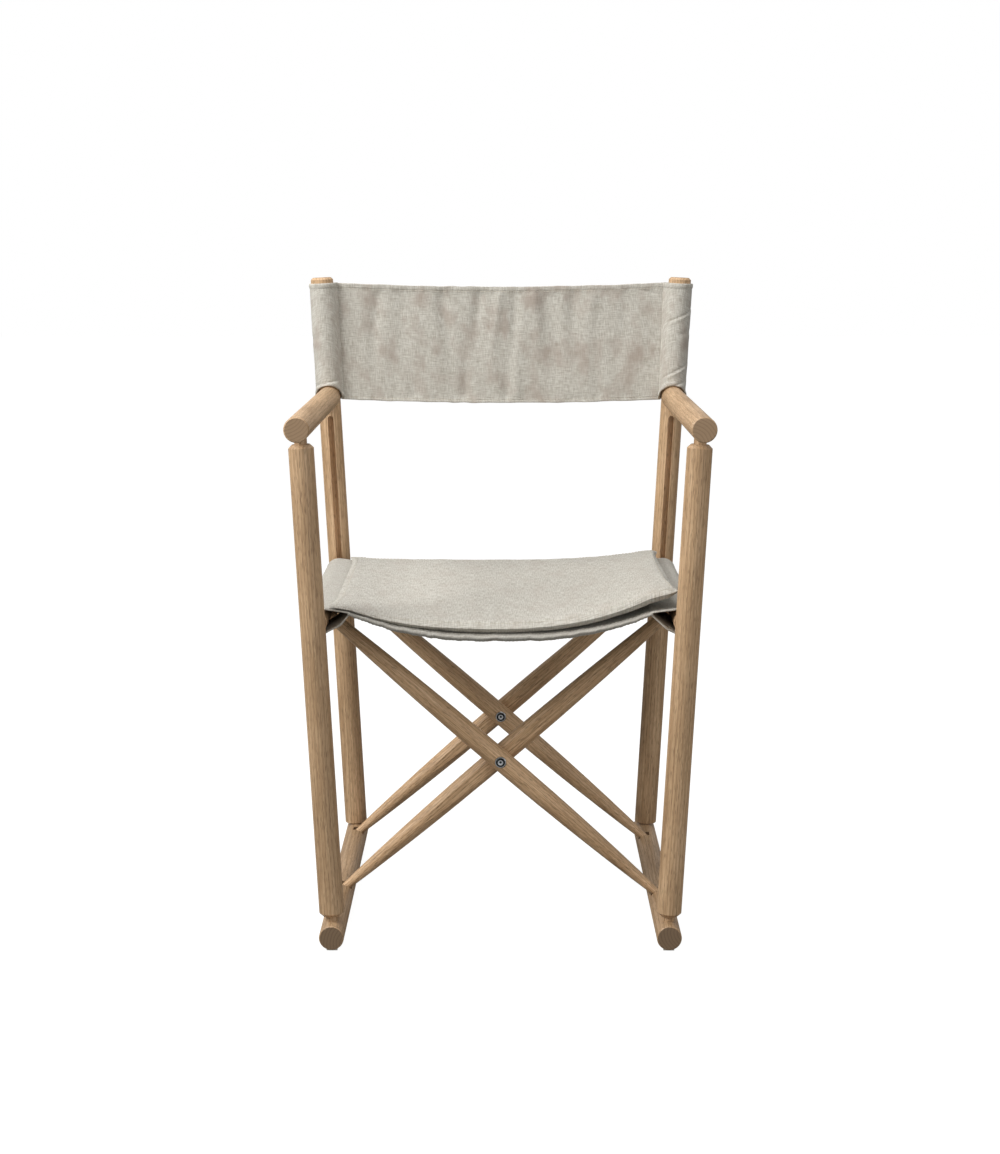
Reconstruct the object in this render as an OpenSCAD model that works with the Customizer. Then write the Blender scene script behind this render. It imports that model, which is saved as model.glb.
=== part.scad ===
// Folding armchair: two round-dowel side frames, two pairs of crossed legs,
// sliding seat rails, a canvas sling seat with a loose pad and a canvas back.
// Millimetres. +Z up, the front faces -Y, the origin is on the floor under the
// middle of the chair. Left and right are as seen from the front (left is -X).

/* [Side frames] */
// Diameter of the posts, armrests and floor runners
dowel_d = 32; // [24:1:40]
// Distance from the front post axis to the back post axis
post_spacing = 430; // [340:5:520]
// Distance between the two runner axes
runner_spread = 434; // [360:2:520]
// How far each armrest leans out past its runner
arm_lean_out = 32; // [0:1:60]
// Runner axis to armrest axis, along the post
arm_rise = 656; // [520:4:760]
// Runner axis to the top of the back post, along the post
back_rise = 828; // [740:4:960]
// Armrest length ahead of the front post axis
arm_overhang = 42; // [24:1:80]
// Runner length ahead of the front post axis
runner_overhang = 28; // [18:1:60]
// Runner length behind the back post axis
runner_tail = 27; // [18:1:60]
// Bare neck between a front post shoulder and the dowel it enters
neck_gap = 6; // [1:0.5:12]
// Diameter of the turned necks and tenons
tenon_d = 16; // [10:1:20]
// Chamfer on dowel shoulders
shoulder_chamfer = 4.5; // [1:0.5:7]

/* [Seat height and rails] */
// Runner axis to seat rail axis, along the post
rail_rise = 404; // [320:2:460]
// Seat rail diameter
rail_d = 32; // [24:1:34]
// Width of the guide grooves in the posts
groove_w = 8; // [7.5:0.1:10]
// Depth of the guide grooves
groove_depth = 8; // [5:0.5:10]
// Gap left between a rail end and a post
rail_end_gap = 2.5; // [1:0.5:6]

/* [Crossed legs] */
// Thickness of a leg where it crosses its partner
leg_mid_d = 28.4; // [24:0.2:32]
// Thickness of a leg at its upper hinge
leg_top_d = 13.5; // [12:0.5:16]
// Thickness of a leg at its lower hinge
leg_foot_d = 11; // [10:0.5:14]
// Depth of the flat on each leg where the two cross
leg_flat = 2.2; // [1:0.1:4]
// Front pair: front leg axis behind the front post axis
front_pair_y = 120; // [90:1:170]
// Rear pair: front leg axis behind the front post axis
rear_pair_y = 370; // [280:1:380]
// Hinge point inboard of the runner axis
foot_pin_in = 4; // [0:0.5:6]
// Hinge point above the runner axis
foot_pin_up = 9; // [0:0.5:9]
// Smallest angle from a leg to its post when folded
folded_angle = 14; // [12:1:30]

/* [Hardware] */
// Foot hinge pin diameter
foot_pin_d = 4; // [3:0.5:5]
// Rail pin diameter: leg hinge and groove guide in one
rail_pin_d = 5; // [4:0.5:6]
// Pivot bolt shank diameter
bolt_d = 6; // [5:0.5:8]
// Pivot bolt head diameter
bolt_head_d = 10; // [8:0.5:13]
// Cup washer diameter
washer_d = 15; // [13:0.5:18]
// Sleeve nut barrel diameter
barrel_d = 9; // [8:0.5:11]
// Thickness of the spacer between crossing legs
spacer_t = 1; // [0.5:0.1:2]
// Glide strip screw diameter
screw_d = 3.5; // [3:0.5:4]
// Hexagon socket across its corners
socket_d = 5.8; // [4:0.2:7]
// Radial clearance of the turning fits
fit_gap = 0.05; // [0.02:0.01:0.1]
// Height of the nylon glide strip under a runner
glide_h = 3; // [2:0.5:8]
// Width of the glide strip
glide_w = 14; // [10:1:20]

/* [Canvas and pad] */
// Canvas thickness
canvas_t = 1.2; // [0.8:0.1:2]
// Gap between canvas and the wood it wraps
canvas_gap = 0.4; // [0.3:0.1:1]
// Height of the back canvas
back_canvas_h = 168; // [120:2:220]
// Bare post above the back canvas
post_show = 8; // [2:1:20]
// Back canvas seam inboard of the post axis
back_seam_in = 26; // [24:1:40]
// Backward bow of the back canvas
back_bow = 9; // [0:1:30]
// Dip of the back canvas top edge
back_dip = 6; // [0:1:12]
// Seat canvas seam inboard of the rail axis
seat_seam_in = 46; // [30:1:60]
// Seat canvas seam above the rail axis
seat_seam_rise = 9; // [0:1:12]
// Sag of the seat canvas at its front edge
seat_sag_front = 30; // [6:1:50]
// Sag of the seat canvas at its back edge
seat_sag_back = 6; // [2:1:40]
// How flat the middle of the sag is; 2 is a parabola
sag_power = 2.6; // [2:0.1:4]
// Seat canvas stands off each post by this much
seat_inset = 22; // [18:1:34]
// Pad thickness at the middle
pad_t = 16; // [10:1:30]
// Pad thickness at its sewn edge
pad_edge_t = 7; // [5:0.5:12]
// Pad reaches past the seat seams, over the sleeves, by this much
pad_overlap = 26; // [0:1:30]
// Pad stops short of the seat canvas front edge
pad_front_gap = 6; // [1:1:30]
// Pad stops short of the seat canvas back edge
pad_back_gap = 4; // [1:1:30]
// How far the pad's front right corner stands off its sleeve
pad_lift = 13; // [0:1:20]

/* [Hidden] */
$fn = 64;
r = dowel_d / 2;
lean = asin(arm_lean_out / arm_rise);
half_low = runner_spread / 2;
axis_z = r + glide_h;
total_depth = arm_overhang + post_spacing + runner_tail;
yf = -total_depth / 2 + arm_overhang;
yb = yf + post_spacing;
rail_r = rail_d / 2;
leg_r = leg_mid_d / 2;
flat_off = leg_r - leg_flat;
pair_gap = 2 * flat_off + spacer_t;
foot = [foot_pin_in, foot_pin_up];
// a point of the left frame, inward and up, in chair coordinates
function gx(n, u) = -half_low + n * cos(lean) - u * sin(lean);
function gz(n, u) = axis_z + n * sin(lean) + u * cos(lean);
foot_x = -gx(foot[0], foot[1]);
foot_z = gz(foot[0], foot[1]);
rail_x = -gx(0, rail_rise);
rail_z = gz(0, rail_rise);
leg_len = norm([rail_x + foot_x, rail_z - foot_z]);
leg_low = leg_len * foot_x / (rail_x + foot_x);
leg_up = leg_len - leg_low;
pivot_z = foot_z + (rail_z - foot_z) * foot_x / (rail_x + foot_x);
leg_tilt = atan2(rail_x + foot_x, rail_z - foot_z);
open_angle = leg_tilt + lean;
groove_low = rail_rise - rail_pin_d / 2 - 0.4;
groove_top = arm_rise - r - 10;
groove_in = 1.1;
// leg axes along Y: "fore" lies in front of "aft" in each pair
fore_y = [yf + front_pair_y, yf + rear_pair_y];
aft_y = [fore_y[0] + pair_gap, fore_y[1] + pair_gap];
foot_slot_w = leg_foot_d + 4.4;
rail_slot_w = leg_top_d + 3.4;
foot_pin_len = foot_slot_w + 16;
channel_w = foot_pin_d + 2 * fit_gap + 0.3;
back_top_u = back_rise - post_show;
back_low_u = back_top_u - back_canvas_h;
seat_y0 = yf + seat_inset;
seat_y1 = yb - seat_inset;
screw_y = [yf + 60, (fore_y[0] + fore_y[1]) / 2 + 8, yb + 4];

// Which node to draw

oak = [0.72, 0.59, 0.42];
oak_dark = [0.63, 0.50, 0.35];
linen = [0.77, 0.75, 0.70];
steel = [0.78, 0.78, 0.79];
nylon = [0.90, 0.90, 0.88];

// children are drawn in the left frame: x inward, z along the post from the runner axis
module at_left() {
  translate([-half_low, 0, axis_z]) rotate([0, -lean, 0]) children();
}
module at_side(side) {
  if (side == "left") at_left() children();
  else mirror([1, 0, 0]) at_left() children();
}
// a round bar along Y
module bar_y(rad, y0, y1) {
  translate([0, y1, 0]) rotate([90, 0, 0]) cylinder(r = rad, h = y1 - y0);
}
// a round bar along Y with a small chamfer at both ends
module chamfered_bar_y(rad, y0, y1, c) {
  translate([0, y0, 0]) rotate([-90, 0, 0]) rotate_extrude()
    polygon([[0, 0], [rad - c, 0], [rad, c], [rad, y1 - y0 - c], [rad - c, y1 - y0], [0, y1 - y0]]);
}
// a turned post: neck, chamfered shoulder, body, chamfered shoulder, neck
module turned_post(low, high, low_neck, high_neck, low_c, high_c) {
  tr = tenon_d / 2;
  rotate_extrude() polygon([[0, low - low_neck], [tr, low - low_neck], [tr, low],
    [r - low_c, low], [r, low + low_c], [r, high - high_c], [r - high_c, high],
    [high_neck > 0 ? tr : 0, high], [high_neck > 0 ? tr : 0, high + high_neck], [0, high + high_neck]]);
}
// vertical guide groove cut from one face of a post, open side toward dir
module guide_groove(dir) {
  g = groove_w / 2;
  lo = groove_low + g - rail_pin_d / 2 + 2.1;
  for (z = [lo, groove_top - g])
    translate([groove_in, 0, z]) rotate([90, 0, 0])
      translate([0, 0, dir > 0 ? -r - 1 : r - groove_depth]) cylinder(r = g, h = groove_depth + 1);
  translate([groove_in - g, dir > 0 ? r - groove_depth : -r - 1, lo])
    cube([groove_w, groove_depth + 1, groove_top - g - lo]);
}

module front_post(side) {
  color(oak) at_side(side) translate([0, yf, 0]) difference() {
    turned_post(r + neck_gap, arm_rise - r - neck_gap, neck_gap + r * 0.75, neck_gap + r * 0.75,
      shoulder_chamfer, shoulder_chamfer);
    guide_groove(1);
  }
}
module back_post(side) {
  color(oak) at_side(side) difference() {
    translate([0, yb, 0]) difference() {
      turned_post(r + 0.8, back_rise, r * 0.9, 0, 0.6, 3);
      guide_groove(-1);
    }
    translate([0, 0, arm_rise]) bar_y(tenon_d / 2 + fit_gap, yb - r - 5, yb - 1.9);
  }
}
module armrest(side) {
  color(oak) at_side(side) difference() {
    union() {
      translate([0, 0, arm_rise]) difference() {
        chamfered_bar_y(r, yf - arm_overhang, yb - 2, 1.5);
        translate([0, yb, -r - 1]) cylinder(r = r + 0.1, h = 2 * r + 2);
      }
      translate([0, 0, arm_rise]) bar_y(tenon_d / 2, yb - r - 6, yb - 2);
    }
    translate([0, yf, arm_rise - r - 1]) cylinder(r = tenon_d / 2 + fit_gap, h = 1 + r * 0.75 + 0.1);
  }
}
// slot that lets a leg swing between two angles from the post, about the pin
module swing_slot(rad, wide, reach, a0, a1) {
  rotate([90, 0, 0]) translate([0, 0, -wide / 2]) linear_extrude(wide) {
    circle(r = rad);
    for (k = [0:5]) rotate(-(a0 + (a1 - a0) * k / 5)) translate([0.1 - rad, 0]) square([2 * rad - 0.2, reach]);
  }
}
function foot_ys(side) = side == "left" ? aft_y : fore_y;
function head_ys(side) = side == "left" ? fore_y : aft_y;
module runner(side) {
  color(oak) at_side(side) difference() {
    chamfered_bar_y(r, yf - runner_overhang, yb + runner_tail, 1.2);
    translate([0, yf, r * 0.25 - 0.1]) cylinder(r = tenon_d / 2 + fit_gap, h = r + 2);
    translate([0, yb, r * 0.1 + 0.7]) cylinder(r = tenon_d / 2 + fit_gap, h = r + 2);
    for (y = foot_ys(side)) translate([foot[0], y, foot[1]]) {
      swing_slot(leg_foot_d / 2 + 1.4, foot_slot_w, 24, folded_angle - 4, open_angle + 2);
      bar_y(foot_pin_d / 2 + fit_gap, -foot_pin_len / 2 - 0.1, foot_pin_len / 2 + 0.1);
      // channel the pin is laid in through, closed by the glide strip
      translate([-channel_w / 2, -foot_pin_len / 2 - 0.1, -foot[1] - r - 1])
        cube([channel_w, foot_pin_len + 0.2, foot[1] + r + 1]);
    }
    for (y = screw_y) translate([0, y, 0]) rotate([0, lean, 0])
      translate([0, 0, -r - 1]) cylinder(d = screw_d + 2 * fit_gap, h = 10.2);
  }
}
module glide_strip(side) {
  s = side == "left" ? -1 : 1;
  color(nylon) translate([s * half_low, 0, 0]) difference() {
    translate([-glide_w / 2, yf - runner_overhang + 8, 0])
      cube([glide_w, post_spacing + runner_overhang + runner_tail - 16, glide_h + 3]);
    translate([0, 0, axis_z]) bar_y(r + 0.05, yf - 200, yb + 200);
    for (y = screw_y) translate([0, y, 0]) {
      translate([0, 0, -1]) cylinder(d = screw_d + 2 * fit_gap, h = 20);
      translate([0, 0, -0.01]) cylinder(d1 = 2 * screw_d + 0.5, d2 = screw_d + 2 * fit_gap, h = 2.1);
    }
  }
}
module glide_screws(side) {
  s = side == "left" ? -1 : 1;
  color(steel) for (y = screw_y) translate([s * half_low, y, 0]) {
    translate([0, 0, 0.4]) cylinder(d1 = 1.8 * screw_d, d2 = screw_d, h = 1.4);
    translate([0, 0, 0.4]) cylinder(d = screw_d, h = glide_h + 8);
  }
}
module foot_pins(side) {
  color(steel) at_side(side) for (y = foot_ys(side)) translate([foot[0], y, foot[1]])
    bar_y(foot_pin_d / 2, -foot_pin_len / 2, foot_pin_len / 2);
}

// one leg along +Z from its foot hinge, its flat facing +Y
module leg_blank() {
  n = 7;
  fr = leg_foot_d / 2;
  tr = leg_top_d / 2;
  low = [for (k = [1:n]) let (q = 1 - k / n) [leg_r - (leg_r - fr) * q * q, leg_low * (1 - q)]];
  up = [for (k = [1:n - 1]) let (q = k / n) [leg_r - (leg_r - tr) * q * q, leg_low + leg_up * q]];
  nose = [for (a = [-90:18:-18]) fr * [cos(a), sin(a)]];
  tip = [for (a = [15:15:90]) [tr * cos(a), leg_len + tr * sin(a)]];
  difference() {
    rotate_extrude() polygon(concat(nose, low, up, tip));
    translate([-40, flat_off, -20]) cube([80, 40, leg_len + 40]);
    bar_y(foot_pin_d / 2 + fit_gap, -40, 40);
    translate([0, 0, leg_len]) bar_y(rail_pin_d / 2 + fit_gap, -40, 40);
    translate([0, 0, leg_low]) {
      bar_y(barrel_d / 2 + fit_gap, -40, 40);
      bar_y(washer_d / 2 + 0.4, -40, -leg_r + 3);
    }
  }
}
// the fore leg runs from the right foot to the left rail, the aft leg the other way
module leg_fore(y) {
  color(oak_dark) translate([foot_x, y, foot_z]) rotate([0, -leg_tilt, 0]) leg_blank();
}
module leg_aft(y) {
  color(oak_dark) translate([-foot_x, y, foot_z]) rotate([0, leg_tilt, 0]) mirror([0, 1, 0]) leg_blank();
}
module at_pivot(k) { translate([0, fore_y[k], pivot_z]) children(); }
stack_y0 = -leg_r + 3;
stack_y1 = pair_gap + leg_r - 3;
module pivot_bolt(k) {
  color(steel) at_pivot(k) difference() {
    translate([0, stack_y0 - 4, 0]) rotate([-90, 0, 0]) rotate_extrude()
      polygon([[0, 0], [bolt_head_d / 2 - 0.6, 0], [bolt_head_d / 2, 0.6], [bolt_head_d / 2, 3],
        [bolt_d / 2, 3], [bolt_d / 2, stack_y1 - stack_y0 - 1], [0, stack_y1 - stack_y0 - 1]]);
    translate([0, stack_y0 - 4.01, 0]) rotate([-90, 0, 0]) cylinder(d = socket_d, h = 2.4, $fn = 6);
  }
}
// dished washer; the bolt head or nut head stands in its cup
module cup_washer() {
  hr = bolt_head_d / 2;
  rotate([90, 0, 0]) rotate_extrude() polygon([[barrel_d / 2 + 0.1, 0], [washer_d / 2, 0],
    [washer_d / 2, 1.6], [washer_d / 2 - 0.6, 2.6], [washer_d / 2 - 1.3, 2.6], [hr + 0.3, 0.9],
    [barrel_d / 2 + 0.1, 0.9]]);
}
module cup_washers(k) {
  color(steel) at_pivot(k) {
    translate([0, stack_y0, 0]) cup_washer();
    translate([0, stack_y1, 0]) mirror([0, 1, 0]) cup_washer();
  }
}
module sleeve_nut(k) {
  color(steel) at_pivot(k) difference() {
    union() {
      bar_y(barrel_d / 2, stack_y0 + 2, stack_y1 + 1);
      translate([0, stack_y1 + 1, 0]) rotate([-90, 0, 0]) rotate_extrude()
        polygon([[0, 0], [bolt_head_d / 2, 0], [bolt_head_d / 2, 2.4], [bolt_head_d / 2 - 0.6, 3], [0, 3]]);
    }
    bar_y(bolt_d / 2 + fit_gap, stack_y0 + 1, stack_y1 - 2);
    translate([0, stack_y1 + 1.8, 0]) rotate([-90, 0, 0]) cylinder(d = socket_d, h = 4, $fn = 6);
  }
}
module leg_spacer(k) {
  color(nylon) at_pivot(k) difference() {
    bar_y(11, flat_off + 0.02, flat_off + spacer_t - 0.02);
    bar_y(barrel_d / 2 + fit_gap, 0, 30);
  }
}

function rail_y0() = yf + r + rail_end_gap;
function rail_y1() = yb - r - rail_end_gap;
module seat_rail(side) {
  color(oak) at_side(side) translate([0, 0, rail_rise]) difference() {
    chamfered_bar_y(rail_r, rail_y0(), rail_y1(), 1);
    for (y = head_ys(side)) translate([0, y, 0])
      swing_slot_down(leg_top_d / 2 + 1.4, rail_slot_w, 28);
    for (p = rail_pin_spans(side)) bar_y(rail_pin_d / 2 + fit_gap, p[0] - 0.1, p[1] + 0.1);
  }
}
// the same slot below a rail; the legs leave it downward and inward
module swing_slot_down(rad, wide, reach) {
  mirror([0, 0, 1]) swing_slot(rad, wide, reach, folded_angle - 5, leg_tilt - lean + 2);
}
// each rail pin runs from the groove, through the rail end and past the leg eye
function rail_pin_spans(side) = [
  [yf + r - groove_depth + 1, head_ys(side)[0] + rail_slot_w / 2 + 9],
  [max(rail_y0() + 150, head_ys(side)[1] - rail_slot_w / 2 - 9), yb - r + groove_depth - 1]];
module rail_pins(side) {
  color(steel) at_side(side) translate([0, 0, rail_rise])
    for (p = rail_pin_spans(side)) bar_y(rail_pin_d / 2, p[0], p[1]);
}

// outline of a canvas loop round a bar, tangent from the bar to a seam point
function loop_outline(rad, seam, drop) = let (phi = acos(rad / norm([seam, drop])), base = atan2(drop, seam), n = 36)
  concat([[seam, drop]], [for (k = [0:n]) let (a = base + phi + (360 - 2 * phi) * k / n) rad * [cos(a), sin(a)]]);
module canvas_loop(rad, seam, drop) {
  k = (seam - 3) / seam;
  difference() {
    polygon(loop_outline(rad + canvas_t, seam - 0.3, drop));
    polygon(loop_outline(rad, seam * k, drop * k));
  }
}
module back_sleeve(side) {
  color(linen) at_side(side) difference() {
    translate([0, yb, back_low_u]) linear_extrude(back_canvas_h)
      canvas_loop(r + canvas_gap, back_seam_in, 0);
    // cut away where the armrest meets the post
    translate([0, 0, arm_rise]) bar_y(r + canvas_gap, yb - 2 * r, yb);
  }
}
module seat_sleeve(side) {
  color(linen) at_side(side) translate([0, 0, rail_rise]) difference() {
    translate([0, seat_y1, 0]) rotate([90, 0, 0]) linear_extrude(seat_y1 - seat_y0)
      canvas_loop(rail_r + canvas_gap, seat_seam_in, seat_seam_rise);
    for (y = head_ys(side)) translate([0, y, 0]) {
      swing_slot_down(leg_top_d / 2 + 2, rail_slot_w + 8, 40);
    }
  }
}

// a thin closed slab between two grids of points, u across and v along
module slab(top, bottom, nu, nv) {
  w = nu + 1;
  n = w * (nv + 1);
  function id(i, j, k) = k * n + j * w + i;
  polyhedron(points = concat(top, bottom), convexity = 6, faces = concat(
    [for (j = [0:nv - 1], i = [0:nu - 1]) each
      [[id(i, j, 0), id(i, j + 1, 0), id(i + 1, j + 1, 0)], [id(i, j, 0), id(i + 1, j + 1, 0), id(i + 1, j, 0)]]],
    [for (j = [0:nv - 1], i = [0:nu - 1]) each
      [[id(i, j, 1), id(i + 1, j + 1, 1), id(i, j + 1, 1)], [id(i, j, 1), id(i + 1, j, 1), id(i + 1, j + 1, 1)]]],
    [for (i = [0:nu - 1]) each
      [[id(i, 0, 0), id(i + 1, 0, 0), id(i + 1, 0, 1)], [id(i, 0, 0), id(i + 1, 0, 1), id(i, 0, 1)],
       [id(i + 1, nv, 0), id(i, nv, 0), id(i, nv, 1)], [id(i + 1, nv, 0), id(i, nv, 1), id(i + 1, nv, 1)]]],
    [for (j = [0:nv - 1]) each
      [[id(0, j + 1, 0), id(0, j, 0), id(0, j, 1)], [id(0, j + 1, 0), id(0, j, 1), id(0, j + 1, 1)],
       [id(nu, j, 0), id(nu, j + 1, 0), id(nu, j + 1, 1)], [id(nu, j, 0), id(nu, j + 1, 1), id(nu, j, 1)]]]));
}
// back canvas: u across from the left seam to the right, v up
module back_canvas() {
  nu = 24;
  nv = 6;
  function pt(i, j, y) = let (u = 2 * i / nu - 1, h = back_low_u + back_canvas_h * j / nv,
    x = gx(back_seam_in, h)) [-x * u, yb + back_bow * (1 - u * u) + y,
    gz(back_seam_in, h) - back_dip * (1 - u * u)];
  color(linen) slab([for (j = [0:nv], i = [0:nu]) pt(i, j, -canvas_t / 2)],
    [for (j = [0:nv], i = [0:nu]) pt(i, j, canvas_t / 2)], nu, nv);
}
sleeve_slope = (rail_r + canvas_gap + canvas_t - seat_seam_rise) / seat_seam_in * 1.25;
seat_x = -gx(seat_seam_in, rail_rise + seat_seam_rise);
seat_z = gz(seat_seam_in, rail_rise + seat_seam_rise);
// middle of the canvas inside the seams; past them the tops of the two sleeves
function seat_height(x, y) = let (v = (y - seat_y0) / (seat_y1 - seat_y0), u = min(1, abs(x) / seat_x))
  seat_z - (seat_sag_front + (seat_sag_back - seat_sag_front) * v) * (1 - pow(u, sag_power))
  + max(0, abs(x) - seat_x) * sleeve_slope;
module seat_canvas() {
  nu = 24;
  nv = 12;
  function pt(i, j, z) = let (x = seat_x * (2 * i / nu - 1), y = seat_y0 + (seat_y1 - seat_y0) * j / nv)
    [x, y, seat_height(x, y) + z];
  color(linen) slab([for (j = [0:nv], i = [0:nu]) pt(i, j, canvas_t / 2)],
    [for (j = [0:nv], i = [0:nu]) pt(i, j, -canvas_t / 2)], nu, nv);
}
function edge_ease(q) = 1 - pow(1 - min(1, q), 2.2);
module seat_pad() {
  nu = 28;
  nv = 24;
  hx = seat_x + pad_overlap;
  y0 = seat_y0 + pad_front_gap;
  y1 = seat_y1 - pad_back_gap;
  function even(i, n) = let (q = 2 * i / n - 1) sign(q) * (1 - pow(1 - abs(q), 1.5));
  function pt(i, j, k) = let (x = hx * even(i, nu), y = (y0 + y1) / 2 + (y1 - y0) / 2 * even(j, nv),
    edge = min(hx - abs(x), min(y - y0, y1 - y)),
    t = pad_edge_t + (pad_t - pad_edge_t) * edge_ease(edge / 38),
    lift = pad_lift * pow(max(0, x / hx), 1.6) * (1 - 0.8 * (y - y0) / (y1 - y0)))
    [x, y, seat_height(x, y) + canvas_t + 0.5 + lift + k * t];
  color(linen) slab([for (j = [0:nv], i = [0:nu]) pt(i, j, 1)],
    [for (j = [0:nv], i = [0:nu]) pt(i, j, 0)], nu, nv);
}

front_post("left");  // left_front_post
back_post("left");  // left_back_post
armrest("left");  // left_armrest
runner("left");  // left_runner
glide_strip("left");  // left_glide_strip
glide_screws("left");  // left_glide_screws
foot_pins("left");  // left_foot_pins
back_sleeve("left");  // left_back_sleeve
front_post("right");  // right_front_post
back_post("right");  // right_back_post
armrest("right");  // right_armrest
runner("right");  // right_runner
glide_strip("right");  // right_glide_strip
glide_screws("right");  // right_glide_screws
foot_pins("right");  // right_foot_pins
back_sleeve("right");  // right_back_sleeve
back_canvas();
leg_fore(fore_y[0]);  // front_leg_fore
leg_fore(fore_y[1]);  // rear_leg_fore
leg_aft(aft_y[0]);  // front_leg_aft
leg_aft(aft_y[1]);  // rear_leg_aft
pivot_bolt(0);  // front_pivot_bolt
cup_washers(0);  // front_cup_washers
sleeve_nut(0);  // front_sleeve_nut
leg_spacer(0);  // front_leg_spacer
pivot_bolt(1);  // rear_pivot_bolt
cup_washers(1);  // rear_cup_washers
sleeve_nut(1);  // rear_sleeve_nut
leg_spacer(1);  // rear_leg_spacer
seat_rail("left");  // left_seat_rail
seat_rail("right");  // right_seat_rail
rail_pins("left");  // left_rail_pins
rail_pins("right");  // right_rail_pins
seat_sleeve("left");  // left_seat_sleeve
seat_sleeve("right");  // right_seat_sleeve
seat_canvas();
seat_pad();
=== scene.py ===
# Looks for the folding canvas armchair: oiled oak dowels, linen canvas, zinc-plated hardware.
import math
import bpy
import bmesh
import numpy as np
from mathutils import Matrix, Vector
from mathutils.bvhtree import BVHTree


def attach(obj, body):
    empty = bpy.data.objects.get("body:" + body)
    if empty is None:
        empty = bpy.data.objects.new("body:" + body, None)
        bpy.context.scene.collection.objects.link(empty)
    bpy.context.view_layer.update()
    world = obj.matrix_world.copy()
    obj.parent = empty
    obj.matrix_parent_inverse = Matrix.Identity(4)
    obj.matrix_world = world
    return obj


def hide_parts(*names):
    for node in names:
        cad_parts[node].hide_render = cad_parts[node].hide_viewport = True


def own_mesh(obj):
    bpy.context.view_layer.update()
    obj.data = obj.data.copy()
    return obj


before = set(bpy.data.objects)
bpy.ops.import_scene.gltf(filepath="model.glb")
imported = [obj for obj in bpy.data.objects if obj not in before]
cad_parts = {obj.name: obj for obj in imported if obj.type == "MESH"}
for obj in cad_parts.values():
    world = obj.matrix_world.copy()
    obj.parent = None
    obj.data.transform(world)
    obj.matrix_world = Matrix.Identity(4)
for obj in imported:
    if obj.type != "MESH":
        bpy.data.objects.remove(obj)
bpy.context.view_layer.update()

scene = bpy.context.scene
print("frame loaded:", len(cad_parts), "nodes")

# the chair's own sizes in mm, as in the CAD
chair = {"dowel": 32, "postSpacing": 430, "runnerSpread": 434, "leanOut": 32, "armRise": 656,
         "armOverhang": 42, "runnerTail": 27, "glide": 3, "railRise": 404, "rail": 32,
         "canvas": 1.2, "clear": 0.4, "pairGap": 25, "frontPair": 120, "rearPair": 370, "foot": (4, 9)}
lean = math.asin(chair["leanOut"] / chair["armRise"])
halfLow = chair["runnerSpread"] / 2
axisZ = chair["dowel"] / 2 + chair["glide"]
yFront = -(chair["armOverhang"] + chair["postSpacing"] + chair["runnerTail"]) / 2 + chair["armOverhang"]
yBack = yFront + chair["postSpacing"]
foreLegs = [yFront + chair["frontPair"], yFront + chair["rearPair"]]
aftLegs = [y + chair["pairGap"] for y in foreLegs]


def sidePoint(side, inward, y, up):   # mm in one side frame, inward and along the post, to metres in the chair
    x = side * (halfLow - inward * math.cos(lean) + up * math.sin(lean))
    z = axisZ + inward * math.sin(lean) + up * math.cos(lean)
    x, y, z = np.broadcast_arrays(x, y, z)
    return np.stack([x, y, z], -1) * 0.001


def smooth(t):
    t = np.clip(t, 0, 1)
    return t * t * (3 - 2 * t)


def softNoise(x, y, seed):  # smooth random values from -1 to 1 on a lattice of unit cells
    table = np.random.default_rng(seed).random((64, 64))
    xi, yi = np.floor(x).astype(int), np.floor(y).astype(int)
    fx, fy = smooth(x - xi), smooth(y - yi)
    low = table[xi % 64, yi % 64] * (1 - fx) + table[(xi + 1) % 64, yi % 64] * fx
    high = table[xi % 64, (yi + 1) % 64] * (1 - fx) + table[(xi + 1) % 64, (yi + 1) % 64] * fx
    return (low * (1 - fy) + high * fy) * 2 - 1


# camera: in front of the chair, a little above the armrests; mm and degrees
view = {"lens": 62.2357, "pitch": 10.02, "yaw": 0.10, "distance": 2467.6, "height": 921.0, "aside": 3.83}
camData = bpy.data.cameras.new("camera")
camData.sensor_width = 36
camData.lens = view["lens"]
camera = bpy.data.objects.new("camera", camData)
camera.location = (view["aside"] / 1000, (yFront - view["distance"]) / 1000, view["height"] / 1000)
camera.rotation_euler = (math.radians(90 - view["pitch"]), 0, math.radians(view["yaw"]))
scene.collection.objects.link(camera)
scene.camera = camera
scene.view_settings.view_transform = "Standard"


def toLinear(hexColour, tone=1.0):
    channels = [int(hexColour[i:i + 2], 16) / 255 for i in (1, 3, 5)]
    return [tone * (c / 12.92 if c <= 0.04045 else ((c + 0.055) / 1.055) ** 2.4) for c in channels] + [1.0]


def addNode(tree, kind, props=None, values=None, links=None, ramp=None):
    # a link starts at a socket, or at a node, which then gives its first working output
    node = tree.nodes.new(kind)
    for key, value in (props or {}).items():
        setattr(node, key, value)
    for key, value in (values or {}).items():
        node.inputs[key].default_value = value
    for key, source in (links or {}).items():
        if isinstance(source, bpy.types.Node):
            source = next(socket for socket in source.outputs if socket.enabled)
        tree.links.new(source, node.inputs[key])
    if ramp:
        stops = node.color_ramp.elements
        while len(stops) < len(ramp):
            stops.new(0.5)
        for stop, (position, colour) in zip(stops, ramp):
            stop.position, stop.color = position, colour
    return node


def newMaterial(name):
    material = bpy.data.materials.new(name)
    material.use_nodes = True
    material.node_tree.nodes.clear()
    return material, material.node_tree


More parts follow.
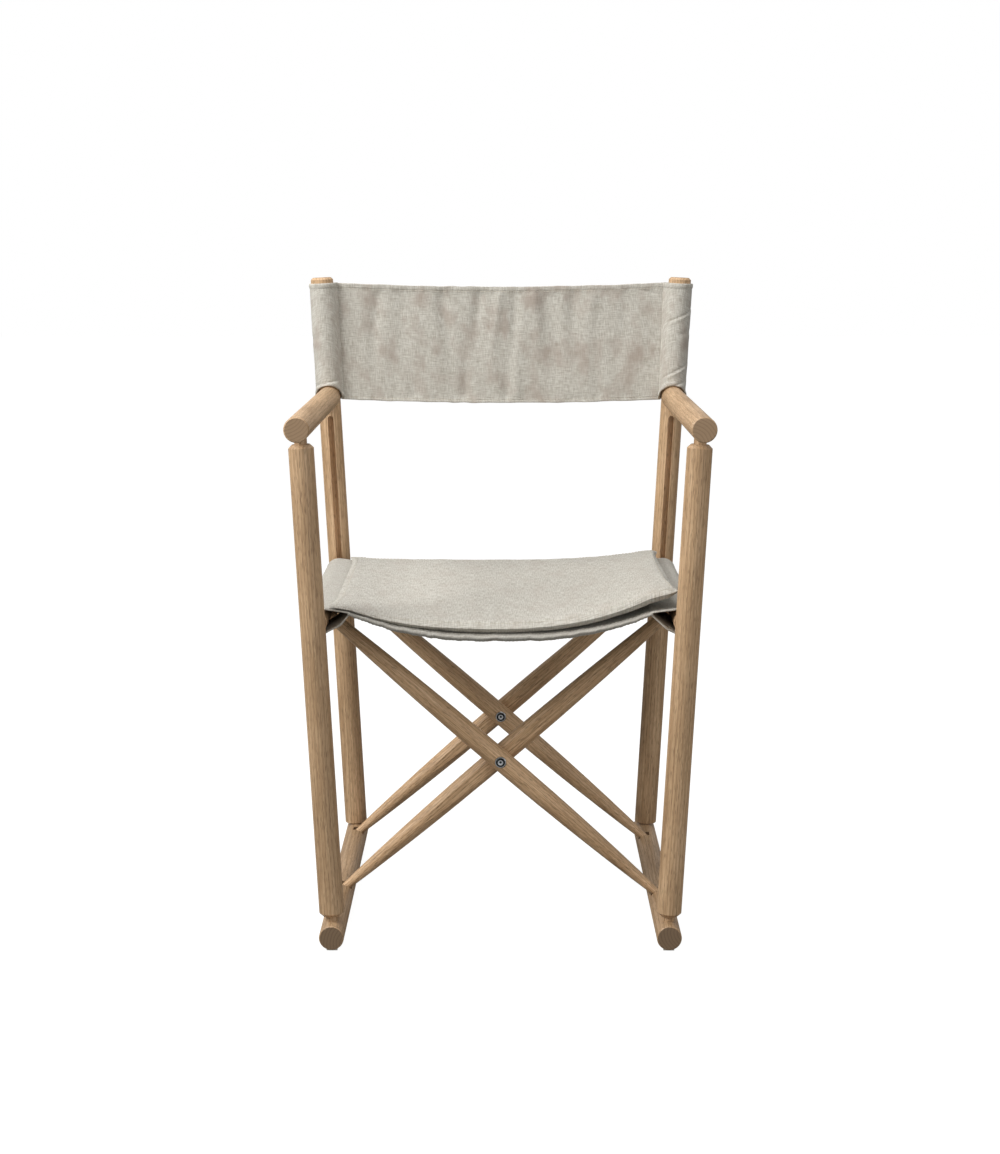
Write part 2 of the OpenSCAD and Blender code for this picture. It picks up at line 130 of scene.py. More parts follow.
# Oiled oak, turned and sanded: warm tan with long pores, growth rings and rays; a low satin from the oil.
oak = {"pale": "#DDBF98", "mid": "#C09E79", "deep": "#9C7D5B", "pore": "#6E543A", "end": "#A5896B", "ray": "#4A3C28",
       "ring": 4.2,   # mm between growth rings; real ones are 2 to 3 mm, too close to show
       "wobble": 7.0,   # mm that a ring wanders
       "ringShade": ((0.0, 0.75), (0.28, 0.1), (0.8, 0.0), (1.0, 0.75)),   # place across a ring, how porous
       "patches": ((0.3, (0.78, 0.75, 0.71)), (0.7, (1.08, 1.08, 1.09))),   # tint of the dark and pale stretches
       "roughness": (0.42, 0.60), "ior": 1.48, "relief": (0.35, 0.0003),
       # noise fields: mm across, across and along the grain, then detail and roughness
       "wander": ((33.333, 33.333, 166.667), 2.0, 0.5),
       "fibre": ((0.9, 0.9, 46.0), 3.0, 0.6),   # real fibres are finer than can show
       "pores": ((0.9, 0.9, 10.0), 0.0, 0.5),   # real pores are 0.3 by 5 mm, drawn coarser so that they show
       "drift": ((22.222, 22.222, 125.0), 2.0, 0.5),
       "flecks": ((2.0, 6.25, 5.0), 1.0, 0.5)}


def oiledOak(name, centre, direction, pith, tone=1.0, endTone=1.0):
    material, tree = newMaterial(name)
    turn = Vector((0, 0, 1)).rotation_difference(Vector(direction)).to_euler("XYZ")
    coords = addNode(tree, "ShaderNodeTexCoord")
    local = addNode(tree, "ShaderNodeMapping", {"vector_type": "TEXTURE"},
                    {"Location": tuple(centre), "Rotation": tuple(turn), "Scale": (0.001, 0.001, 0.001)},
                    {"Vector": coords.outputs["Object"]})   # now mm, z along the grain
    field = {}
    for key in ("wander", "fibre", "pores", "drift", "flecks"):
        size, detail, rough = oak[key]
        stretched = addNode(tree, "ShaderNodeMapping", {}, {"Scale": tuple(1 / s for s in size)}, {"Vector": local})
        field[key] = addNode(tree, "ShaderNodeTexNoise", {},
                             {"Scale": 1.0, "Detail": detail, "Roughness": rough}, {"Vector": stretched})
    blank = addNode(tree, "ShaderNodeMapping", {}, {"Location": (pith[0], pith[1], 0), "Scale": (1, 1, 0)},
                    {"Vector": local})
    fromPith = addNode(tree, "ShaderNodeVectorMath", {"operation": "LENGTH"}, {}, {0: blank})
    bent = addNode(tree, "ShaderNodeMath", {"operation": "MULTIPLY_ADD"}, {1: oak["wobble"]},
                   {0: field["wander"], 2: fromPith})
    ringsOut = addNode(tree, "ShaderNodeMath", {"operation": "DIVIDE"}, {1: oak["ring"]}, {0: bent})
    phase = addNode(tree, "ShaderNodeMath", {"operation": "FRACT"}, {}, {0: ringsOut})
    early = addNode(tree, "ShaderNodeValToRGB", {}, {}, {"Fac": phase},
                    [(place, (v, v, v, 1)) for place, v in oak["ringShade"]])
    pores = addNode(tree, "ShaderNodeMapRange", {}, {"From Min": 0.60, "From Max": 0.72}, {"Value": field["pores"]})
    streaks = addNode(tree, "ShaderNodeMath", {"operation": "MULTIPLY_ADD"}, {1: 0.26}, {0: early, 2: field["fibre"]})
    base = addNode(tree, "ShaderNodeValToRGB", {}, {}, {"Fac": streaks},
                   [(0.28, toLinear(oak["pale"])), (0.58, toLinear(oak["mid"])), (0.86, toLinear(oak["deep"]))])
    patches = addNode(tree, "ShaderNodeValToRGB", {}, {}, {"Fac": field["drift"]},
                      [(place, tuple(c * tone for c in tint) + (1,)) for place, tint in oak["patches"]])
    drifted = addNode(tree, "ShaderNodeMix", {"data_type": "RGBA", "blend_type": "MULTIPLY"}, {"Factor": 1.0},
                      {"A": base, "B": patches})
    rays = addNode(tree, "ShaderNodeMapRange", {}, {"From Min": 0.66, "From Max": 0.74, "To Max": 0.5},
                   {"Value": field["flecks"]})
    rayed = addNode(tree, "ShaderNodeMix", {"data_type": "RGBA", "blend_type": "SCREEN"}, {"B": toLinear(oak["ray"])},
                    {"A": drifted, "Factor": rays})
    poreShare = addNode(tree, "ShaderNodeMath", {"operation": "MULTIPLY"}, {1: 0.5}, {0: pores})
    pored = addNode(tree, "ShaderNodeMix", {"data_type": "RGBA"}, {"B": toLinear(oak["pore"])},
                    {"A": rayed, "Factor": poreShare})
    facing = addNode(tree, "ShaderNodeVectorMath", {"operation": "DOT_PRODUCT"}, {1: tuple(direction)},
                     {0: coords.outputs["Normal"]})
    square = addNode(tree, "ShaderNodeMath", {"operation": "ABSOLUTE"}, {}, {0: facing})
    endOn = addNode(tree, "ShaderNodeMapRange", {}, {"From Min": 0.80, "From Max": 0.93}, {"Value": square})
    ringShare = addNode(tree, "ShaderNodeMath", {"operation": "MULTIPLY"}, {1: 0.55}, {0: early})
    endGrain = addNode(tree, "ShaderNodeMix", {"data_type": "RGBA"},
                       {"A": toLinear(oak["end"], endTone), "B": toLinear(oak["pore"], endTone)},
                       {"Factor": ringShare})
    whole = addNode(tree, "ShaderNodeMix", {"data_type": "RGBA"}, {}, {"Factor": endOn, "A": pored, "B": endGrain})
    gloss = addNode(tree, "ShaderNodeMapRange", {}, {"To Min": oak["roughness"][0], "To Max": oak["roughness"][1]},
                    {"Value": field["fibre"]})
    height = addNode(tree, "ShaderNodeMath", {"operation": "MULTIPLY_ADD"}, {1: -0.8}, {0: pores, 2: field["fibre"]})
    bump = addNode(tree, "ShaderNodeBump", {}, {"Strength": oak["relief"][0], "Distance": oak["relief"][1]},
                   {"Height": height})
    shader = addNode(tree, "ShaderNodeBsdfPrincipled", {}, {"IOR": oak["ior"]},
                     {"Base Color": whole, "Roughness": gloss, "Normal": bump})
    addNode(tree, "ShaderNodeOutputMaterial", {}, {}, {"Surface": shader})
    return material


# Linen canvas, plain-woven from slubby yarn: matt greige, thick and thin threads both ways, a faint sheen.
linen = {"thread": "#DCD9CF", "shade": "#B1AA9D", "warm": "#A99A8E",
         "pitch": 1.7,   # mm between drawn threads; the real ones are 1.1 mm apart, too fine to show
         "wander": (0.05, 14.0),   # waves to a mm along the threads, radians aside
         "slub": (1.2, 13.0),   # mm wide and long
         "stain": (34.0, 46.0),   # mm across and up
         "roughness": (0.80, 0.95), "ior": 1.4, "sheen": (0.12, 0.5), "relief": (0.45, 0.0004)}


def linenCanvas(name, blotch, slubs, tone):
    material, tree = newMaterial(name)
    coords = addNode(tree, "ShaderNodeUVMap", {"uv_map": "cloth"})
    local = addNode(tree, "ShaderNodeMapping", {}, {"Scale": (1000, 1000, 1000)}, {"Vector": coords})   # mm
    waves, aside = linen["wander"]
    shiver = addNode(tree, "ShaderNodeTexNoise", {}, {"Scale": waves, "Detail": 2.0}, {"Vector": local})
    shifted = addNode(tree, "ShaderNodeMath", {"operation": "MULTIPLY"}, {1: aside}, {0: shiver})
    split = addNode(tree, "ShaderNodeSeparateXYZ", {}, {}, {"Vector": local})
    threads = []
    for axis in "XY":
        phase = addNode(tree, "ShaderNodeMath", {"operation": "MULTIPLY_ADD"}, {1: 2 * math.pi / linen["pitch"]},
                        {0: split.outputs[axis], 2: shifted})
        threads.append(addNode(tree, "ShaderNodeMath", {"operation": "SINE"}, {}, {0: phase}))
    weave = addNode(tree, "ShaderNodeMath", {"operation": "MAXIMUM"}, {}, {0: threads[0], 1: threads[1]})
    wide, long = linen["slub"]
    fields = []
    for across, up, detail, rough in ((wide, long, 2.0, 0.6), (long, wide, 2.0, 0.6), (*linen["stain"], 3.0, 0.62)):
        stretched = addNode(tree, "ShaderNodeMapping", {}, {"Scale": (1 / across, 1 / up, 1)}, {"Vector": local})
        fields.append(addNode(tree, "ShaderNodeTexNoise", {},
                              {"Scale": 1.0, "Detail": detail, "Roughness": rough}, {"Vector": stretched}))
    upright, level, stains = fields
    slubSum = addNode(tree, "ShaderNodeMath", {"operation": "ADD"}, {}, {0: upright, 1: level})
    colour = addNode(tree, "ShaderNodeMapRange", {},
                     {"From Min": 0.72, "From Max": 1.28, "To Min": 0.5 - slubs, "To Max": 0.5 + slubs},
                     {"Value": slubSum})
    woven = addNode(tree, "ShaderNodeMath", {"operation": "MULTIPLY_ADD"}, {1: -0.15}, {0: weave, 2: colour})
    base = addNode(tree, "ShaderNodeMix", {"data_type": "RGBA"},
                   {"A": toLinear(linen["thread"], tone), "B": toLinear(linen["shade"], tone)}, {"Factor": woven})
    stain = addNode(tree, "ShaderNodeMapRange", {}, {"From Min": 0.48, "From Max": 0.68, "To Max": blotch},
                    {"Value": stains})
    stained = addNode(tree, "ShaderNodeMix", {"data_type": "RGBA"}, {"B": toLinear(linen["warm"])},
                      {"A": base, "Factor": stain})
    fuzz = addNode(tree, "ShaderNodeMapRange", {}, {"To Min": linen["roughness"][0], "To Max": linen["roughness"][1]},
                   {"Value": upright})
    height = addNode(tree, "ShaderNodeMath", {"operation": "MULTIPLY_ADD"}, {1: 0.45}, {0: weave, 2: slubSum})
    bump = addNode(tree, "ShaderNodeBump", {}, {"Strength": linen["relief"][0], "Distance": linen["relief"][1]},
                   {"Height": height})
    shader = addNode(tree, "ShaderNodeBsdfPrincipled", {},
                     {"Sheen Weight": linen["sheen"][0], "Sheen Roughness": linen["sheen"][1], "IOR": linen["ior"]},
                     {"Base Color": stained, "Roughness": fuzz, "Normal": bump})
    addNode(tree, "ShaderNodeOutputMaterial", {}, {}, {"Surface": shader})
    return material


# Zinc-plated steel, tumbled then plated: bright cool grey with a faint blue bloom and soft reflections.
zincPlate = {"pale": "#E2E4E6", "deep": "#C6CCD2", "roughness": (0.22, 0.40), "relief": 0.2,
             "shader": {"Metallic": 1.0},
             "cloud": (260.0, 3.0), "grain": (260.0, 3.0)}   # patches to a metre, so 4 mm each, and their detail
# The same plating on the pivot bolts and their cup washers, with painted shade in the hex socket and in the gap round
# each head.
pivotPlate = {"pale": "#F4F5F6", "deep": "#D8DCE0", "roughness": (0.25, 0.45), "relief": 0.15,
              "shader": {"Metallic": 1.0}, "cloud": (700.0, 3.0), "grain": (700.0, 3.0),   # 1.4 mm patches
              "recessShade": "#2C3236", "reach": 8.0,   # mm out from the bolt's axis that the rings cover
              # mm out, and how much plating shows there; where it is low, the painted shade colour shows
              "rings": ((0.0, 0.05), (1.5, 0.05), (1.9, 1.0), (3.4, 1.0), (3.9, 0.0), (5.6, 0.0), (6.1, 1.0))}
# Nylon, injection moulded: milky off-white with a fine spark-eroded grain, half matt.
nylon = {"pale": "#E4E1D8", "deep": "#D2CEC2", "roughness": (0.38, 0.52), "relief": 0.3, "shader": {"IOR": 1.53},
         "cloud": (30.0, 2.0), "grain": (900.0, 2.0)}   # 33 mm and 1.1 mm; the real grain is 0.2 mm, too fine
# Polyester sewing thread, a shade paler than the canvas: fine twisted ply, slightly glossy.
polyester = {"pale": "#DDD7C9", "deep": "#B4AC9C", "roughness": (0.5, 0.7), "relief": 0.4, "shader": {},
             "cloud": (1500.0, 1.0), "grain": (1500.0, 1.0)}   # 0.7 mm, one turn of the ply


def grained(name, finish, centre=None):
    material, tree = newMaterial(name)
    coords = addNode(tree, "ShaderNodeTexCoord")
    cloud, grain = [addNode(tree, "ShaderNodeTexNoise", {}, {"Scale": finish[key][0], "Detail": finish[key][1]},
                            {"Vector": coords.outputs["Object"]}) for key in ("cloud", "grain")]
    colour = addNode(tree, "ShaderNodeMix", {"data_type": "RGBA"},
                     {"A": toLinear(finish["pale"]), "B": toLinear(finish["deep"])}, {"Factor": cloud})
    if centre:   # rings round a bolt that runs from front to back through the centre, so y is flattened
        local = addNode(tree, "ShaderNodeMapping", {"vector_type": "TEXTURE"},
                        {"Location": centre, "Scale": (0.001, 1e6, 0.001)}, {"Vector": coords.outputs["Object"]})
        outward = addNode(tree, "ShaderNodeVectorMath", {"operation": "LENGTH"}, {}, {0: local})
        share = addNode(tree, "ShaderNodeMath", {"operation": "DIVIDE"}, {1: finish["reach"]}, {0: outward})
        rings = addNode(tree, "ShaderNodeValToRGB", {}, {}, {"Fac": share},
                        [(out / finish["reach"], (v, v, v, 1)) for out, v in finish["rings"]])
        # painted shade: the dark rings darken the hex socket and the gap between head and washer, where shade falls
        colour = addNode(tree, "ShaderNodeMix", {"data_type": "RGBA"}, {"A": toLinear(finish["recessShade"])},
                         {"Factor": rings, "B": colour})
    gloss = addNode(tree, "ShaderNodeMapRange", {},
                    {"To Min": finish["roughness"][0], "To Max": finish["roughness"][1]}, {"Value": grain})
    bump = addNode(tree, "ShaderNodeBump", {}, {"Strength": finish["relief"], "Distance": 0.0001}, {"Height": grain})
    shader = addNode(tree, "ShaderNodeBsdfPrincipled", {}, finish["shader"],
                     {"Base Color": colour, "Roughness": gloss, "Normal": bump})
    addNode(tree, "ShaderNodeOutputMaterial", {}, {}, {"Surface": shader})
    return material


def giveFinish(node, material):
    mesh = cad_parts[node].data
    mesh.materials.clear()
    mesh.materials.append(material)


# oak parts: each dowel gets the grain of its own blank
for index, (word, side) in enumerate((("left", -1), ("right", 1))):
    upright = Vector((side * math.sin(lean), 0, math.cos(lean)))
    lengthwise = Vector((0, 1, 0))
    # place along y and up the frame in mm, direction of the grain, pith aside, tones of the sides and the ends; some
    # tones are painted light and shade
    # painted light and shade: the left front post is toned darker and the right one paler, as the light falls on them
    blanks = {"front_post": (yFront, 90 * index, upright, (26 * side, 14), 0.96 if side < 0 else 1.07, 1.0),
              "back_post": (yBack, 37 + 90 * index, upright, (-22 * side, 19), 1.07, 1.0),
              "armrest": (130 * index, chair["armRise"], lengthwise, (18, -24 * side), 0.97, 1.0),
              # painted shade: the runners' end grain is toned darker, as shade near the floor
              "runner": (130 * index, 0, lengthwise, (-28, 9 * side), 0.90, 0.62),
              "seat_rail": (130 * index, chair["railRise"], lengthwise, (21, 17 * side), 1.0, 1.0)}
    for node, (y, up, direction, pith, tone, endTone) in blanks.items():
        giveFinish(f"{word}_{node}", oiledOak(f"oiledOak_{word}_{node}", sidePoint(side, 0, y, up), direction, pith,
                                              tone, endTone))
footX, footZ = [abs(v) for v in sidePoint(1, chair["foot"][0], 0, chair["foot"][1])[[0, 2]]]
railX, railZ = [abs(v) for v in sidePoint(1, 0, 0, chair["railRise"])[[0, 2]]]
# painted light: the legs are toned paler than the other oak, to make up for the shade that the seat casts on them
for node, side, y in (("front_leg_fore", 1, foreLegs[0]), ("rear_leg_fore", 1, foreLegs[1]),
                      ("front_leg_aft", -1, aftLegs[0]), ("rear_leg_aft", -1, aftLegs[1])):
    along = Vector((-side * (railX + footX), 0, railZ - footZ)).normalized()
    giveFinish(node, oiledOak(f"oiledOak_{node}", (side * footX, y / 1000, footZ), along, (17 * side, 21), 1.24))
pivotZ = footZ + (railZ - footZ) * footX / (railX + footX)   # where the crossed legs meet, at x = 0
steel, ringed = grained("zincPlatedSteel", zincPlate), grained("zincPlatedPivotSteel", pivotPlate, (0, 0, pivotZ))
moulded = grained("mouldedNylon", nylon)
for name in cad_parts:
    if any(word in name for word in ("bolt", "washer", "nut", "screws", "pins")):
        giveFinish(name, ringed if any(word in name for word in ("pivot", "cup", "sleeve_nut")) else steel)
    if "glide_strip" in name or "spacer" in name:
        giveFinish(name, moulded)
print("oak, steel and nylon finished")

# how blotched, how slubby and how bright each canvas is; the sling is drawn darker than its sleeves, painted shade
# for its hem that faces down
backLinen = linenCanvas("linenCanvasBack", 0.68, 0.60, 0.92)
seatLinen = linenCanvas("linenCanvasSeat", 0.20, 0.45, 0.84)
slingLinen = linenCanvas("linenCanvasSling", 0.20, 0.50, 0.68)
padLinen = linenCanvas("linenCanvasPad", 0.25, 0.80, 0.86)
thread = grained("sewingThread", polyester)


def newPiece(name, points, faces, material=None, uv=None):
    # a smooth piece with its faces outward; uv is each point's place on the flat cloth, in metres
    mesh = bpy.data.meshes.new(name)
    mesh.from_pydata(points.tolist(), [], faces)
    if uv is not None:
        layer = mesh.uv_layers.new(name="cloth")
        corner = np.zeros(len(mesh.loops), int)
        mesh.loops.foreach_get("vertex_index", corner)
        layer.data.foreach_set("uv", uv[corner].astype(np.float32).ravel())
    made = bmesh.new()
    made.from_mesh(mesh)
    bmesh.ops.delete(made, geom=[v for v in made.verts if not v.link_faces], context="VERTS")
    bmesh.ops.triangulate(made, faces=[f for f in made.faces if len(f.verts) > 4])
    bmesh.ops.recalc_face_normals(made, faces=made.faces)
    made.to_mesh(mesh)
    made.free()
    for polygon in mesh.polygons:
        polygon.use_smooth = True
    if material:
        mesh.materials.append(material)
    piece = bpy.data.objects.new(name, mesh)
    scene.collection.objects.link(piece)
    return piece


# a cut edge is thinner than the cloth, and stitches stand a little proud of it
cloth = {"rim": 0.6, "proud": 0.15}   # share, mm


def clothShell(name, mid, half, uv, material, keep=None):
    # a closed skin of the given half thickness about a grid of points in metres
    rows, cols = mid.shape[:2]
    normal = np.cross(np.gradient(mid, axis=1), np.gradient(mid, axis=0))
    normal /= np.maximum(np.linalg.norm(normal, axis=2, keepdims=True), 1e-12)
    half = np.broadcast_to(half, (rows, cols)).copy()
    for rim in (half[0], half[-1], half[:, 0], half[:, -1]):
        rim *= cloth["rim"]
    front, back = mid + normal * half[..., None], mid - normal * half[..., None]
    keep = np.pad(np.ones((rows - 1, cols - 1), bool) if keep is None else keep, 1)   # a border of no cloth
    total = rows * cols
    faces = []
    for i, j in zip(*np.nonzero(keep)):
        first = int((i - 1) * cols + j - 1)
        ring = [first, first + 1, first + cols + 1, first + cols]
        faces += [ring, [v + total for v in reversed(ring)]]
        for k, (di, dj) in enumerate(((-1, 0), (0, 1), (1, 0), (0, -1))):
            if not keep[i + di, j + dj]:
                a, b = ring[k], ring[(k + 1) % 4]
                faces.append([b, a, a + total, b + total])
    points = np.concatenate([front.reshape(-1, 3), back.reshape(-1, 3)])
    piece = newPiece(name, points, faces, material, np.concatenate([uv.reshape(-1, 2)] * 2))
    return piece, front + normal * cloth["proud"] / 1000


def arcLengths(points, axis):   # running length along one axis of a grid, metres
    steps = np.linalg.norm(np.diff(points, axis=axis), axis=2)
    return np.concatenate([np.zeros_like(np.take(steps, [0], axis)), np.cumsum(steps, axis)], axis)


# back panel: one width of canvas between the two post sleeves, hemmed top and bottom
backSeams = {-1: (21.0, 21.5), 1: (20.0, 23.5)}   # mm inboard of the post axis, low and high end, for each side
backPanel = {"low": 652, "top": 820, "bow": 9, "dip": 6, "hemTop": 8.0, "hemLow": 5.5,
             "across": 240, "up": 84, "foldDepth": 1.8, "tuck": 3.0, "half": 0.6, "hemHalf": 0.8,
             # slack creases beside the right sleeve: height as a share, slope in mm, depth in mm
             "creases": [(0.93, 3, 0.9), (0.30, 5, 1.0)],
             # soft upright folds: place across from -1 to 1, width mm, depth, reach down from the hem as a share
             "folds": [(-0.76, 9, 1.5, 0.5), (-0.62, 14, 0.8, 1.0), (-0.33, 10, 1.7, 0.5), (-0.13, 8, 1.7, 0.35),
                       (-0.03, 7, -1.3, 0.45), (0.07, 8, 1.6, 0.5), (0.21, 10, -1.5, 0.4), (0.30, 13, 1.3, 0.8),
                       (0.46, 9, 1.2, 0.4), (0.56, 8, -1.0, 0.35), (0.74, 12, 0.9, 0.9)],
             "lowFolds": [(-0.22, 9, 1.5, 0.3), (0.03, 8, 1.3, 0.28), (0.10, 7, -1.0, 0.3), (-0.55, 11, 0.8, 0.3),
                          (0.6, 12, 0.8, 0.3)]}


def makeBackPanel():
    spec = backPanel
    u = np.linspace(-1, 1, spec["across"] + 1)[None, :]
    height = spec["top"] - spec["low"]
    # rows in mm above the lower edge, close together in the hems
    stops = np.concatenate([np.linspace(0, 14, 24), np.linspace(14, height - 16, spec["up"] - 22)[1:-1],
                            np.linspace(height - 16, height, 26)])
    v = stops[:, None]
    up = spec["low"] + v + 0 * u
    ends = []
    for side in (-1, 1):
        low, high = backSeams[side]
        seam = low + (high - low) * stops / height - spec["tuck"]   # a little way into the sleeve's seam
        ends.append(sidePoint(side, seam, 0, up[:, 0]))
    endX = (ends[0][:, :1] + (ends[1][:, :1] - ends[0][:, :1]) * (u + 1) / 2)
    endZ = ends[0][:, 2:]
    wave = 0.5 * softNoise(u * 17, 0 * v + 3, 5)
    share = v / height
    z = endZ * 1000 - spec["dip"] * (1 - u ** 2) + wave * (smooth((share - 0.9) * 10) - smooth((0.08 - share) * 12))
    depth = spec["bow"] * (1 - u ** 2)
    for place, width, deep, reach in spec["folds"]:
        down = 1 - share
        body = smooth(down / 0.10) * np.exp(-((down - 0.08) / reach) ** 2)
        away = (u - place) * 230 + 5 * np.sin(share * 5 + place * 9)
        depth = depth + spec["foldDepth"] * deep * body * np.exp(-(away / width) ** 2)
    for place, width, deep, reach in spec["lowFolds"]:
        body = smooth(share / 0.08) * np.exp(-((share - 0.06) / reach) ** 2)
        depth = depth + spec["foldDepth"] * deep * body * np.exp(-(((u - place) * 230) / width) ** 2)
    free = smooth((1 - np.abs(u)) / 0.06)
    depth = depth + free * (0.9 * softNoise(u * 7, share * 1.6, 11) + 0.5 * softNoise(u * 15, share * 2.4, 12))
    for level, slope, deep in spec["creases"]:
        near = np.exp(-((u - 0.90) / 0.07) ** 2)
        away = (share - level) * height + slope * (u - 0.9) * 20
        depth = depth + deep * near * np.exp(-(away / 2.6) ** 2)
    topHem, lowHem = height - v - spec["hemTop"], v - spec["hemLow"]   # mm past each hem's stitches
    puckers = 0.45 * softNoise(u * 34, share * 2, 21) + 0.3 * softNoise(u * 60, share * 2, 22)
    depth = depth - puckers * (np.exp(-(topHem / 4.5) ** 2) + np.exp(-(lowHem / 4) ** 2))
    half = spec["half"] + 0 * v
    for hem in (topHem, lowHem):   # thicker where it is turned over, drawn in along the stitches
        half = half + spec["hemHalf"] * smooth((1.0 - hem) / 1.6) - 0.85 * np.exp(-(hem + 1.2) ** 2)
    mid = np.stack(np.broadcast_arrays(endX, (yBack + depth) / 1000, z / 1000), -1)
    uv = np.stack([arcLengths(mid, 1), arcLengths(mid, 0)], -1)
    piece, skin = clothShell("back_panel", mid, (half + 0 * u) / 1000, uv, backLinen)
    topRow = int(np.argmin(np.abs(height - stops - spec["hemTop"] + 1.2)))
    lowRow = int(np.argmin(np.abs(stops - spec["hemLow"] + 1.2)))
    return piece, [skin[topRow, 3:-3], skin[lowRow, 3:-3]]


def loopOutline(radius, seam, rise, count):
    # a canvas loop round a bar: from the seam over the top, round and back; mm, with its running length
    away = math.hypot(seam, rise)
    spread, base = math.acos(radius / away), math.atan2(rise, seam)
    angles = np.linspace(base + spread, base + 2 * math.pi - spread, 400)
    points = [(seam, rise)] + [(radius * math.cos(a), radius * math.sin(a)) for a in angles] + [(seam, rise)]
    points = np.array(points)
    run = np.concatenate([[0], np.cumsum(np.linalg.norm(np.diff(points, axis=0), axis=1))])
    even = np.linspace(0, run[-1], count)
    return np.stack([np.interp(even, run, points[:, 0]), np.interp(even, run, points[:, 1])], 1), even


# back sleeves: the canvas ends, each sewn into a tube that drops over a back post
backSleeve = {"low": 652, "top": 820, "around": 84, "up": 130, "slack": 0.9,
              # creases: side, place round (0 and 1 at the seam), mm above the lower edge, slope, half width, depth
              "creases": [(-1, 0.72, 25, 2.6, 1.5, 2.2), (-1, 0.74, 10, 1.0, 2.4, 1.2), (-1, 0.60, 90, 2.0, 5.0, 0.6),
                          (1, 0.72, 44, -8.0, 1.6, 2.4), (1, 0.70, 24, -5.0, 1.6, 2.2), (1, 0.66, 12, -2.5, 2.0, 1.3),
                          (1, 0.66, 124, -7.0, 1.6, 1.5), (1, 0.60, 98, -2.0, 3.0, 0.7)]}


def makeBackSleeve(side):
    spec = backSleeve
    radius = chair["dowel"] / 2 + chair["clear"] + chair["canvas"] / 2
    lowLoop, run = loopOutline(radius, backSeams[side][0], 0, spec["around"])   # its rise is toward the back here
    highLoop, _ = loopOutline(radius, backSeams[side][1], 0, spec["around"])
    share = np.linspace(0, 1, spec["up"])[:, None]
    share = share + 0.028 * np.sin(share * 2 * math.pi)   # rows gather a little at both ends
    inward, behind = [lowLoop[:, k] * (1 - share) + highLoop[:, k] * share for k in (0, 1)]
    place = (run / run[-1])[None, :]
    # the front of the lower edge stands on the armrest
    armTop = chair["armRise"] + np.sqrt(np.maximum(0, (chair["dowel"] / 2 + 1.0) ** 2 - inward ** 2)) + 0.9
    low = np.where(behind < -2, np.maximum(spec["low"], armTop), spec["low"])
    up = low + (spec["top"] - low) * share
    outX, outY = inward / radius, behind / radius
    size = np.hypot(outX, outY)
    outX, outY = outX / size, outY / size
    bulge = spec["slack"] * sum(np.sin(math.pi * np.clip(near / 0.2, 0, 1)) for near in (place, 1 - place))
    swell = (bulge * (0.8 + 0.5 * softNoise(up / 30, place * 3, 31 + side)) + 0.75
             + 0.35 * softNoise(up / 22, place * 5, 33 + side))
    for creaseSide, middle, rise, slope, wide, deep in spec["creases"]:
        if creaseSide == side:
            level = up - spec["low"] - rise - slope * (place - middle) * 8
            near = np.exp(-((place - middle) / 0.17) ** 2)
            ridge = 0.5 * np.exp(-((level + 2.4 * wide) / (1.7 * wide)) ** 2)
            swell = swell + near * deep * (ridge - np.exp(-(level / wide) ** 2))
    puckers = 0.35 * softNoise(place * 30, up / 9, 41 + side)
    swell = swell + puckers * np.exp(-((spec["top"] - up - 7) / 4) ** 2) + 0.7 * smooth((12 - (up - low)) / 12)
    swell = np.maximum(swell, 0.0) * smooth(np.minimum(place, 1 - place) / 0.03)
    half = 0.6 + 0.5 * smooth((8.0 - (spec["top"] - up)) / 1.6) + 0.45 * smooth((5.5 - (up - low)) / 1.6)
    half = half - 0.35 * np.exp(-((spec["top"] - up - 6.8) / 0.9) ** 2)
    out = swell + half - 0.6
    mid = sidePoint(side, inward + outX * out, yBack + behind + outY * out, up)
    uv = np.stack([arcLengths(mid, 1), arcLengths(mid, 0)], -1)
    if side < 0:
        mid, uv, half = mid[:, ::-1], uv[:, ::-1], half[:, ::-1]
    name = "left_back_sleeve_canvas" if side < 0 else "right_back_sleeve_canvas"
    piece, skin = clothShell(name, mid, (half + 0 * up) / 1000, uv, backLinen)
    hemRow = int(np.argmin(np.abs(spec["top"] - up[:, 0] - 6.8)))
    seamColumn = 5 if side < 0 else spec["around"] - 6
    return piece, [skin[hemRow, 5:-5], skin[3:-2, seamColumn]]


# seat canvas: a sling between the two rail sleeves, its hems turned down front and back
seatSling = {"seamIn": 46, "seamRise": 9, "inset": 22, "sagFront": 30, "sagBack": 6, "sagPower": 2.6,
             "lip": (2.0, 5.4), "across": 170, "along": 92}
seatX, _, seatZ = sidePoint(1, seatSling["seamIn"], 0, chair["railRise"] + seatSling["seamRise"]) * 1000
seatY0, seatY1 = yFront + seatSling["inset"], yBack - seatSling["inset"]


def seatHeight(x, y):   # mm: the middle of the canvas, and past its seams the tops of the two sleeves
    back = np.clip((y - seatY0) / (seatY1 - seatY0), 0, 1)
    inner = np.minimum(1, np.abs(x) / seatX)
    sag = seatSling["sagFront"] + (seatSling["sagBack"] - seatSling["sagFront"]) * back
    return seatZ - sag * (1 - inner ** seatSling["sagPower"]) + 0.196 * np.maximum(0, np.abs(x) - seatX)


